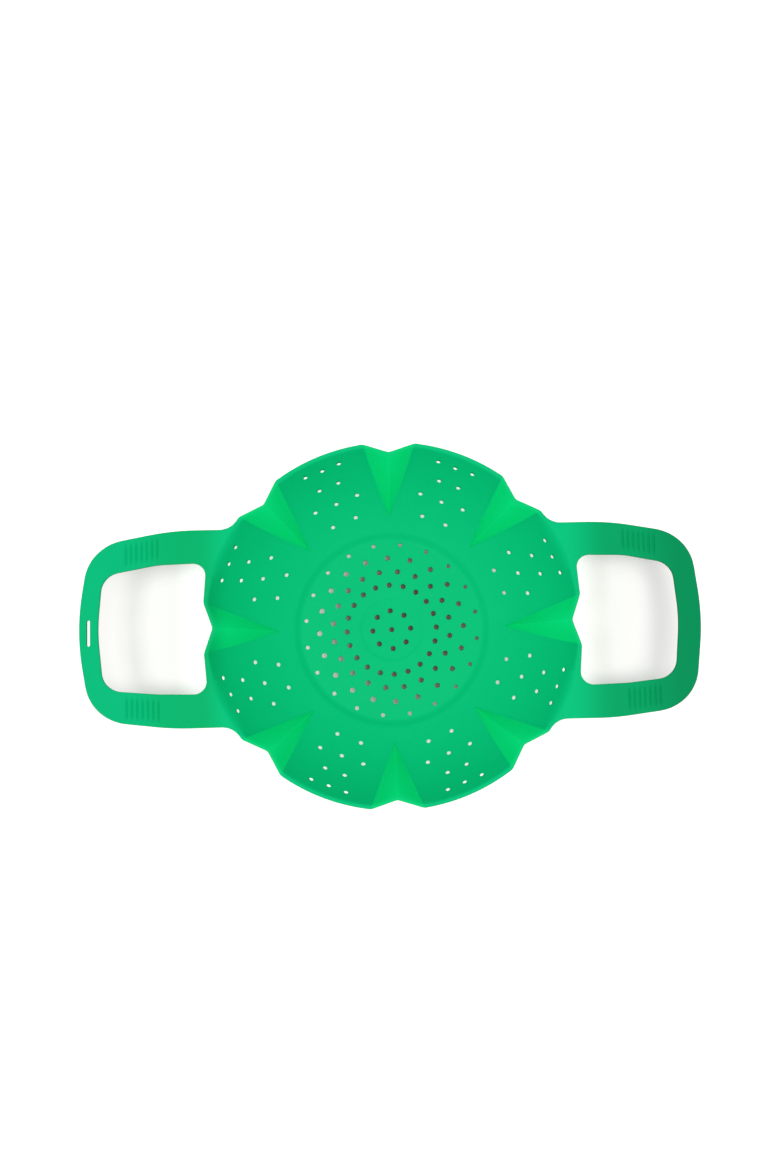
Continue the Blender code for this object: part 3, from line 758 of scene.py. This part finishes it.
def dress_facet(facet, pleat_number, letter, carrier):
    """Finishes a facet and keeps each point's distance from its crease; a facet without a body of its own
    is tied to its carrier.
    """
    name = f"pleat_{pleat_number}_{letter}"
    facet.name = "silicone_" + name
    finish_piece(facet, lit_pleat_silicone)
    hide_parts(name)
    side = -1 if letter == "a" else 1
    apex, inward = crease_cut(pleat_number * SECTOR, side)
    run = pull(crease_line(pleat_number * SECTOR, side)[1]) - apex
    away = Vector((run.y, -run.x)).normalized()
    if away.dot(inward) > 0:
        away = -away
    # Each point's distance from the crease places the facets' painted light.
    keep(facet, "from_crease", [(vert.co.to_2d() - apex).dot(away) for vert in facet.data.vertices])
    if name not in frame["bodies"]:
        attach(facet, carrier)
        return
    start = apex + away * FOLD_MARGIN
    stop = start + away * FOLD_REACH
    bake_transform(facet)


def place_sector(petal, facets, number, turn, carrier):
    """Places copies of a petal and its facets, presses them and ties each facet without a body of its own
    to the carrier.
    """
    spin = Matrix.Rotation(turn, 4, "Z")
    copies = [copy_of(piece, "copy") for piece in (petal, *facets)]
    for piece in copies:
        piece.data.transform(spin)
        press(piece)
    copies[0].name = f"silicone_petal_{number}"
    finish_piece(copies[0], bowl_silicone)
    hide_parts(f"petal_{number}")
    before = (number - 2) % PETALS + 1
    dress_facet(copies[1], before, "b", carrier)
    dress_facet(copies[2], number, "a", carrier)
    return copies[0]


PLAIN_PETALS = (2, 3, 6, 7)
azimuth = (PLAIN_PETALS[0] - 0.5) * SECTOR
even = [column / COLUMNS for column in range(COLUMNS + 1)]
flat, _ = petal_sheet(azimuth, even, edge_radius)
plain_petal = sheet([flat], "plain_petal", on_rim)
plain_facets = [facet_sheet(azimuth - SECTOR / 2, 1), facet_sheet(azimuth + SECTOR / 2, -1)]
drill(plain_petal, wall_holes(azimuth), WALL_HOLE_ROUND)
for number in PLAIN_PETALS:
    azimuth = (number - 0.5) * SECTOR
    carrier = f"petal_{number}"
    turn = (number - PLAIN_PETALS[0]) * SECTOR
    petal = place_sector(plain_petal, plain_facets, number, turn, carrier)
    fold = polar(CHORD_DISTANCE, azimuth)
    high = polar(CHORD_DISTANCE + FOLD_REACH, azimuth)
    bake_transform(petal)
for piece in (plain_petal, *plain_facets):
    bpy.data.objects.remove(piece)

# The wings: two petals, their pleats and a loop handle in one stretch of the moulding. The handle's
# arms are 2.8 mm thick, flow out of the rim in a soft bell-mouth and end in a bowed crossbar.
# The left crossbar has a slot to hang the basket by. Seven low ribs cross each arm for grip.
HANDLE_CUT = 0.1200
BEND_END = 0.1300
ARM_FILLET = 0.0127
ARM_EDGE = 0.0624
ARM_KNEE = Vector((0.1385, 0.0626))
HANDLE_CORNER = Vector((0.1905, 0.0532))
FRONT_HANDLE_CORNER = Vector((0.1900, 0.0562))
ARM_KNEE_ROUND = 0.1600
HANDLE_CORNER_ROUND = 0.0290
BOW_TIP = Vector((0.1986, 0.0))
BOW_ROUND = 0.1550
LOOP_KNEE = Vector((0.1480, 0.0408))
LOOP_CORNER = Vector((0.1828, 0.0346))
FRONT_LOOP_CORNER = Vector((0.1824, 0.0376))
LOOP_CORNER_ROUND = 0.0130
LOOP_TIP = Vector((0.1860, 0.0))
LOOP_BOW_ROUND = 0.1200
KNEE_ROUND = 0.0600
RIGHT_BAR_EXTRA = 0.0040
RIGHT_TIP_BACK = 0.0018
LEFT_TIP_OUT = 0.0007
ROOT_DIP = 0.0030
ROOT_ROWS = 14
ARM_COLUMNS = 14
ARM_PITCH = 0.0012
CORNER_ROWS = 30
NEAR_OUTLINE = 0.00004
SLOT_MIDDLE = 0.1915
SLOT_SIDE = 0.0015
SLOT_LENGTH = 0.0170
SLOT_WIDTH = 0.0023
RIBS = 7
RIB_PITCH = 0.0033
RIB_WIDTH = 0.0018
RIB_HEIGHT = 0.0008
RIB_EDGE_MARGIN = 0.0030
RIB_MIDDLE = 0.1577
RIB_STEPS = 12
RIB_END = 0.0010


def fillet(before, corner, after, radius):
    """Points of the arc that rounds a corner."""
    back = (before - corner).normalized()
    ahead = (after - corner).normalized()
    half = back.angle(ahead) / 2
    reach = radius / math.tan(half)
    centre = corner + (back + ahead).normalized() * radius / math.sin(half)
    first = corner + back * reach - centre
    last = corner + ahead * reach - centre
    sweep = math.atan2(first.cross(last), first.dot(last))
    return [centre + turned(first, sweep * step / ARC_POINTS) for step in range(ARC_POINTS + 1)]


def rounded(outline):
    """An outline of (place, corner radius), with each corner that has a radius rounded."""
    points = []
    for index, (corner, radius) in enumerate(outline):
        if radius == 0:
            points.append(corner)
        else:
            points += fillet(outline[index - 1][0], corner, outline[index + 1][0], radius)
    return points


def at_x(points, x):
    """Where an outline first passes an X."""
    for first, last in zip(points, points[1:]):
        if first.x <= x <= last.x:
            return first.lerp(last, (x - first.x) / max(last.x - first.x, MERGE * MERGE))
    return points[-1]


def along(points, share):
    """The place at a share of an outline's length."""
    lengths = [(last - first).length for first, last in zip(points, points[1:])]
    left = share * sum(lengths)
    for first, last, length in zip(points, points[1:], lengths):
        if left <= length:
            return first.lerp(last, left / length)
        left -= length
    return points[-1]


def flipped(place):
    return Vector((place.x, -place.y))


def outlines(bar_shift, tip_back, swapped):
    """For each half, 1 for +Y, the handle's outer and inner edge from the rim to the crossbar's middle.

    They are laid out as they are before the pull. Swapped is for the handle that is turned to -X later.
    """
    meet = math.asin(unpull(Vector((0.0, ARM_EDGE))).y / EDGE_RADIUS)
    half_turn = (math.pi / 2 - meet) / 2
    shoulder = polar(EDGE_RADIUS, meet + ARM_FILLET * math.tan(half_turn) / EDGE_RADIUS)
    shift = Vector((-bar_shift, 0.0))
    corners = [unpull(HANDLE_CORNER), flipped(unpull(FRONT_HANDLE_CORNER))]
    loop_corners = [unpull(LOOP_CORNER + shift), flipped(unpull(FRONT_LOOP_CORNER + shift))]
    if swapped:
        corners = [flipped(place) for place in reversed(corners)]
        loop_corners = [flipped(place) for place in reversed(loop_corners)]
    start = [(shoulder, 0), (polar(EDGE_RADIUS, meet), ARM_FILLET), (unpull(ARM_KNEE), ARM_KNEE_ROUND)]
    loop_start = [(CORNER, 0), (unpull(MOUTH), MOUTH_ROUND), (unpull(LOOP_KNEE), KNEE_ROUND)]
    tip = (unpull(BOW_TIP - Vector((tip_back, 0.0))), BOW_ROUND)
    loop_tip = (unpull(LOOP_TIP + shift), LOOP_BOW_ROUND)
    halves = {1: [], -1: []}
    for first, bends, bend_round, end in (
        (start, corners, HANDLE_CORNER_ROUND, tip),
        (loop_start, loop_corners, LOOP_CORNER_ROUND, loop_tip),
    ):
        whole = first + [(bends[0], bend_round), end, (bends[1], bend_round)]
        whole += [(flipped(place), radius) for place, radius in reversed(first)]
        points = rounded(whole)[1:-1]
        middle = next(index for index, place in enumerate(points) if place.y < 0)
        centre = points[middle - 1].lerp(points[middle], 1 / 2)
        halves[1].append(points[:middle] + [centre])
        halves[-1].append([flipped(place) for place in reversed(points[middle:])] + [flipped(centre)])
    return halves


def upto(points, x):
    return [place for place in points if place.x < x - MERGE] + [at_x(points, x)]


def beyond(points, x):
    later = next(index for index, place in enumerate(points) if place.x > x + MERGE)
    return [at_x(points, x)] + points[later:]


def root_sheet(half, outer, inner):
    """A petal of the wing at +Y or -Y, with the root of the handle's arm growing out of its rim."""
    cut = HANDLE_CUT / (1 + PULL)
    mouth = upto(inner, cut)
    shoulder = upto(outer, cut)
    low, high = azimuth_of(mouth[0], 0.0), azimuth_of(shoulder[0], 0.0)
    low_radius, high_radius = mouth[0].length, shoulder[0].length

    def rim(azimuth):
        share = (azimuth - low) / (high - low)
        if share <= 0 or share >= 1:
            return edge_radius(azimuth)
        dip = ROOT_DIP * math.sqrt(4 * share * (1 - share))
        return low_radius + share * (high_radius - low_radius) - dip

    first = azimuth_of(crease_line(0.0, 1)[1], 0.0)
    last = azimuth_of(crease_line(SECTOR, -1)[1], 0.0)
    near = (low - first) / (last - first)
    far = (high - first) / (last - first)
    before = round(COLUMNS * near)
    after = max(round(COLUMNS * (1 - far)), 2)
    shares = [near * column / before for column in range(before)]
    shares += [near + (far - near) * column / ARM_COLUMNS for column in range(ARM_COLUMNS + 1)]
    shares += [far + (1 - far) * column / after for column in range(1, after + 1)]
    flat, tips = petal_sheet(SECTOR / 2, shares, rim)
    feet = tips[before:before + ARM_COLUMNS + 1]
    feet[0], feet[-1] = mouth[0], shoulder[0]

    def place_of(column, row):
        across, out = column / ARM_COLUMNS, row / ROOT_ROWS
        sides = along(mouth, out).lerp(along(shoulder, out), across)
        ends = feet[column].lerp(mouth[-1].lerp(shoulder[-1], across), out)
        corners = mouth[0].lerp(shoulder[0], across).lerp(mouth[-1].lerp(shoulder[-1], across), out)
        return sides + ends - corners

    root = grid(ARM_COLUMNS, ROOT_ROWS, place_of)
    edges = [shoulder, mouth]

    def is_outer(place):
        if place.x > cut - MERGE:
            return False
        if low < math.atan2(place.y, place.x) < high:
            return any(near_outline(place, points) for points in edges)
        return on_rim(place)

    petal = sheet([flat, root], "wing_petal", is_outer)
    if half < 0:
        for vert in petal.data.vertices:
            vert.co.y = -vert.co.y
        petal.data.flip_normals()
    return petal


def near_outline(place, points):
    for first, last in zip(points, points[1:]):
        whole = last - first
        share = min(max((place - first).dot(whole) / max(whole.length_squared, MERGE**2), 0.0), 1.0)
        if (first.lerp(last, share) - place).length < NEAR_OUTLINE:
            return True
    return False


def handle_sheet(halves):
    """The loop from one cut round to the other, with rows close enough for the ribs on its arms."""
    cut = HANDLE_CUT / (1 + PULL)
    ribs = RIBS * RIB_PITCH
    first_rib = (RIB_MIDDLE - ribs / 2) / (1 + PULL)
    last_rib = (RIB_MIDDLE + ribs / 2) / (1 + PULL)
    count = round((first_rib - cut) / ARM_PITCH)
    stations = [cut + (first_rib - cut) * row / count for row in range(count)]
    count = RIBS * RIB_STEPS
    stations += [first_rib + (last_rib - first_rib) * row / count for row in range(count + 1)]
    both = {}
    for half, (outer, inner) in halves.items():
        rows = [(at_x(inner, x), at_x(outer, x)) for x in stations]
        near, far = (beyond(points, stations[-1]) for points in (inner, outer))
        for row in range(1, CORNER_ROWS + 1):
            rows.append((along(near, row / CORNER_ROWS), along(far, row / CORNER_ROWS)))
        both[half] = rows
    rows = both[1] + [(flipped(near), flipped(far)) for near, far in reversed(both[-1][:-1])]

    def place_of(column, row):
        near, far = rows[row]
        return near.lerp(far, column / ARM_COLUMNS)

    flat = grid(ARM_COLUMNS, len(rows) - 1, place_of)
    return sheet([flat], "handle", lambda place: place.x > cut + MERGE)


def cut_slot(handle):
    """The slot that the basket hangs by, with round ends."""
    middle = SLOT_MIDDLE / (1 + PULL)
    bpy.ops.object.select_all(action="DESELECT")
    bpy.ops.mesh.primitive_cylinder_add(
        vertices=DRILL_SIDES, radius=SLOT_WIDTH / 2, depth=2 * RIM_Z, location=(middle, 0, 0)
    )
    bpy.ops.object.transform_apply()
    pin = bpy.context.object
    for vert in pin.data.vertices:
        vert.co.y += SLOT_SIDE + math.copysign((SLOT_LENGTH - SLOT_WIDTH) / 2, vert.co.y)
    cut_out(handle, pin)


def rib_rise(place):
    """Height of the grip ribs above the strap."""
    from_middle = abs(place.x) - RIB_MIDDLE
    across = min(abs(from_middle - (rib - (RIBS - 1) / 2) * RIB_PITCH) for rib in range(RIBS))
    corner = HANDLE_CORNER if place.y > 0 else FRONT_HANDLE_CORNER
    loop_corner = LOOP_CORNER if place.y > 0 else FRONT_LOOP_CORNER
    slope = (corner.y - ARM_KNEE.y) / (corner.x - ARM_KNEE.x)
    outer = ARM_KNEE.y + slope * (abs(place.x) - ARM_KNEE.x) - RIB_EDGE_MARGIN
    slope = (loop_corner.y - LOOP_KNEE.y) / (loop_corner.x - LOOP_KNEE.x)
    inner = LOOP_KNEE.y + slope * (abs(place.x) - LOOP_KNEE.x) + RIB_EDGE_MARGIN
    inside = min(outer - abs(place.y), abs(place.y) - inner)
    return RIB_HEIGHT * (1 - ramp(across, 0, RIB_WIDTH / 2)) * ramp(inside, 0, RIB_END)


def press_handle(handle):
    for vert in handle.data.vertices:
        plan = pull(vert.co.to_2d())
        share = vert.co.z / HANDLE_THICKNESS
        height = RIM_Z - HANDLE_THICKNESS * (1 - share) + share * rib_rise(plan)
        vert.co = (plan.x, plan.y, height)


handle_silicone = silicone("handle_silicone", BOWL_GREEN)
wing_facets = {
    1: [facet_sheet(0.0, 1), facet_sheet(SECTOR, -1)],
    -1: [facet_sheet(-SECTOR, 1), facet_sheet(0.0, -1)],
}
wing_petals = {half: root_sheet(half, *outlines(0.0, 0.0, False)[1]) for half in (1, -1)}
for half, petal in wing_petals.items():
    drill(petal, wall_holes(half * SECTOR / 2), WALL_HOLE_ROUND)
for side, bar_shift, tip_back in ((1, RIGHT_BAR_EXTRA, RIGHT_TIP_BACK), (-1, 0.0, -LEFT_TIP_OUT)):
    name = "right" if side > 0 else "left"
    for half, number in ((1, 1), (-1, 8)):
        real = number if side > 0 else (number + 3) % PETALS + 1
        turn = 0.0 if side > 0 else math.pi
        petal = place_sector(wing_petals[half], wing_facets[half], real, turn, name + "_wing")
        end = "back" if half * side > 0 else "front"
        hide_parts(f"petal_{real}", f"{name}_handle_root_{end}")
        start, stop = side * WING_START, side * WING_END
        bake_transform(petal)
    handle = handle_sheet(outlines(bar_shift, tip_back, side < 0))
    handle.name = f"silicone_{name}_handle"
    if side < 0:
        cut_slot(handle)
        handle.data.transform(Matrix.Rotation(math.pi, 4, "Z"))
    press_handle(handle)
    finish_piece(handle, handle_silicone)
    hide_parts(name + "_handle")
    start, stop = side * HANDLE_CUT, side * BEND_END
    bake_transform(handle)
for piece in (*wing_petals.values(), *wing_facets[1], *wing_facets[-1]):
    bpy.data.objects.remove(piece)

# The feet: four short posts of the same silicone under the floor, moulded with it.
# They taper to a rounded end, and keep the food out of the water.
FEET = 4
FOOT_SIDES = 48
FOOT_TAPER = 0.77
FOOT_IN_FLOOR = 0.0003
FOOT_TIP_ROUND = 0.0012
FOOT_TIP_STEPS = 4
# Painted shade: the feet are drawn in the darker shade green, for the shade under the floor.
shaded_foot_silicone = silicone("shaded_foot_silicone", PAINTED_SHADE_GREEN)
for number in range(1, FEET + 1):
    low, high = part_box(f"foot_{number}")
    bpy.ops.object.select_all(action="DESELECT")
    middle = (low + high) / 2
    wide = (high.x - low.x) / 2
    tall = high.z - low.z + FOOT_IN_FLOOR
    bpy.ops.mesh.primitive_cone_add(
        vertices=FOOT_SIDES, radius1=wide * FOOT_TAPER, radius2=wide, depth=tall,
        location=(middle.x, middle.y, (high.z + low.z) / 2 + FOOT_IN_FLOOR / 2),
    )
    bpy.ops.object.transform_apply()
    foot = bpy.context.object
    foot.name = f"silicone_foot_{number}"
    edit("DESELECT")
    bpy.ops.mesh.select_mode(type="EDGE")
    leave()
    for edge in foot.data.edges:
        edge.select = all(foot.data.vertices[index].co.z < low.z + MERGE for index in edge.vertices)
    bpy.ops.object.mode_set(mode="EDIT")
    bpy.ops.mesh.bevel(offset=FOOT_TIP_ROUND, segments=FOOT_TIP_STEPS, affect="EDGES")
    leave()
    finish_piece(foot, shaded_foot_silicone)
    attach(foot, "root")
    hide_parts(f"foot_{number}")

# The studio: a table that a painted glow for camera rays makes plain white, save for the shadow under the
# floor, deepened by painted shade, and the soft shadows inside the handles' loops. Three lamps hang high
# over the left, the right and the middle.
TABLE_SIZE = 6.0
TABLE_ROUGHNESS = 0.9
TABLE_TONE = (0.88, 0.83, 0.84)
# Painted shade: the table is drawn darker and browner under the floor, round a middle a little to the
# right.
UNDER_SHADE_TONE = (0.60, 0.44, 0.44)
UNDER_SHADE_FADE = (0.022, 0.070)
SHADE_MIDDLE = (0.016, 0.004, 0.0)
BLACK = (0.0, 0.0, 0.0)
WHITE = (1.0, 1.0, 1.0)
# Painted light: the table glows for camera rays only. The glow is cut away under the floor and strong round
# the bowl, where it washes out the bowl's own shadow. It is lower inside the handles' loops, so that their
# shadows stay, and stronger far out.
NEAR_FADE = (0.045, 0.078)
NEAR_LIFT = 0.46
FAR_FADE = (0.30, 0.90)
FAR_LIFT = 0.70
LOOP_DROP = 0.34
LOOP_START = (0.126, 0.150)
LOOP_END = (0.200, 0.216)
LOOP_SIDE = (0.046, 0.066)
bpy.ops.object.select_all(action="DESELECT")
bpy.ops.mesh.primitive_plane_add(size=TABLE_SIZE)
table = bpy.context.object
table.name = "table"
material = bpy.data.materials.new("table")
material.use_nodes = True
tree = material.node_tree
table.data.materials.append(material)
shader = Shader(tree)
shader.principled.inputs["Roughness"].default_value = TABLE_ROUGHNESS
shader.principled.inputs["Specular IOR Level"].default_value = 0.0
place = shader.node("ShaderNodeTexCoord")[3]
between = {0: place, 1: SHADE_MIDDLE}
radius = shader.node("ShaderNodeVectorMath", {"operation": "DISTANCE"}, between)[1]
# Painted shade under the floor, in the table's base colour.
shader.link(shader.mix(shader.fade(radius, UNDER_SHADE_FADE), UNDER_SHADE_TONE, TABLE_TONE), "Base Color")
sides = shader.node("ShaderNodeSeparateXYZ", {}, {0: place})[:2]
away_x, away_y = (value.math("ABSOLUTE", value, 0.0) for value in sides)
# Painted light: the glow is lowered inside the loops and cut away under the floor.
in_loop = shader.fade(away_x, LOOP_START) * (1 - shader.fade(away_x, LOOP_END))
in_loop = in_loop * (1 - shader.fade(away_y, LOOP_SIDE))
painted_glow = (NEAR_LIFT - LOOP_DROP * in_loop) * shader.fade(radius, NEAR_FADE)
painted_glow = painted_glow + FAR_LIFT * shader.fade(radius, FAR_FADE)
seen = shader.node("ShaderNodeLightPath")[0]
shader.link(shader.mix(painted_glow * seen, BLACK, WHITE), "Emission Color")
shader.principled.inputs["Emission Strength"].default_value = 1.0

ROOM_LEVEL = 0.60
SEEN_LEVEL = 1.0
world = bpy.data.worlds.new("studio")
bpy.context.scene.world = world
world.use_nodes = True
tree = world.node_tree
shader = Shader(tree)
background = tree.nodes["Background"]
background.inputs["Color"].default_value = (*WHITE, 1)
seen = shader.node("ShaderNodeLightPath")[0]
levels = {"Value": seen, "To Min": ROOM_LEVEL, "To Max": SEEN_LEVEL}
level = shader.node("ShaderNodeMapRange", {}, levels)[0]
tree.links.new(level.output, background.inputs["Strength"])

AIM = Vector((0.0, 0.0, 0.03))
LAMP_WARMTH = (1.0, 0.99, 0.92)
for name, place, size, watts, colour in (
    ("key", (-0.48, -0.14, 1.40), 0.3, 4.5, WHITE),
    ("fill", (0.24, -0.16, 1.40), 0.3, 4.5, LAMP_WARMTH),
    ("top", (0.0, 0.0, 1.60), 0.5, 4.2, WHITE),
):
    bpy.ops.object.select_all(action="DESELECT")
    bpy.ops.object.light_add(type="AREA", location=place)
    lamp = bpy.context.object
    lamp.name = name
    lamp.data.size = size
    lamp.data.energy = watts
    lamp.data.color = colour
    lamp.rotation_euler = (AIM - Vector(place)).to_track_quat("-Z", "Y").to_euler()

CAMERA_AZIMUTH = math.radians(15.35)
CAMERA_ELEVATION = math.radians(85.20)
CAMERA_ROLL = math.radians(13.93)
CAMERA_DISTANCE = 0.6855
FOCAL_PIXELS = 1085.8
PHOTO_HEIGHT = 1170
SHIFT_PIXELS = Vector((3.1, 38.8))
SENSOR_WIDTH = 36.0
CLIP_START = 0.01
bpy.ops.object.camera_add()
camera = bpy.context.object
bpy.context.scene.camera = camera
cosine, sine = math.cos(CAMERA_AZIMUTH), math.sin(CAMERA_AZIMUTH)
run, drop = math.cos(CAMERA_ELEVATION), math.sin(CAMERA_ELEVATION)
forward = Vector((sine * run, cosine * run, -drop))
across = Vector((cosine, -sine, 0))
upright = across.cross(forward)
right = math.cos(CAMERA_ROLL) * across + math.sin(CAMERA_ROLL) * upright
up = math.cos(CAMERA_ROLL) * upright - math.sin(CAMERA_ROLL) * across
turn = Matrix((right, up, -forward)).transposed().to_4x4()
camera.matrix_world = Matrix.Translation(Vector((0, 0, RIM_Z)) - forward * CAMERA_DISTANCE) @ turn
camera.data.sensor_width = SENSOR_WIDTH
camera.data.lens = SENSOR_WIDTH * FOCAL_PIXELS / PHOTO_HEIGHT
camera.data.shift_x = -SHIFT_PIXELS.x / PHOTO_HEIGHT
camera.data.shift_y = SHIFT_PIXELS.y / PHOTO_HEIGHT
camera.data.clip_start = CLIP_START

bpy.context.scene.view_settings.view_transform = "Standard"
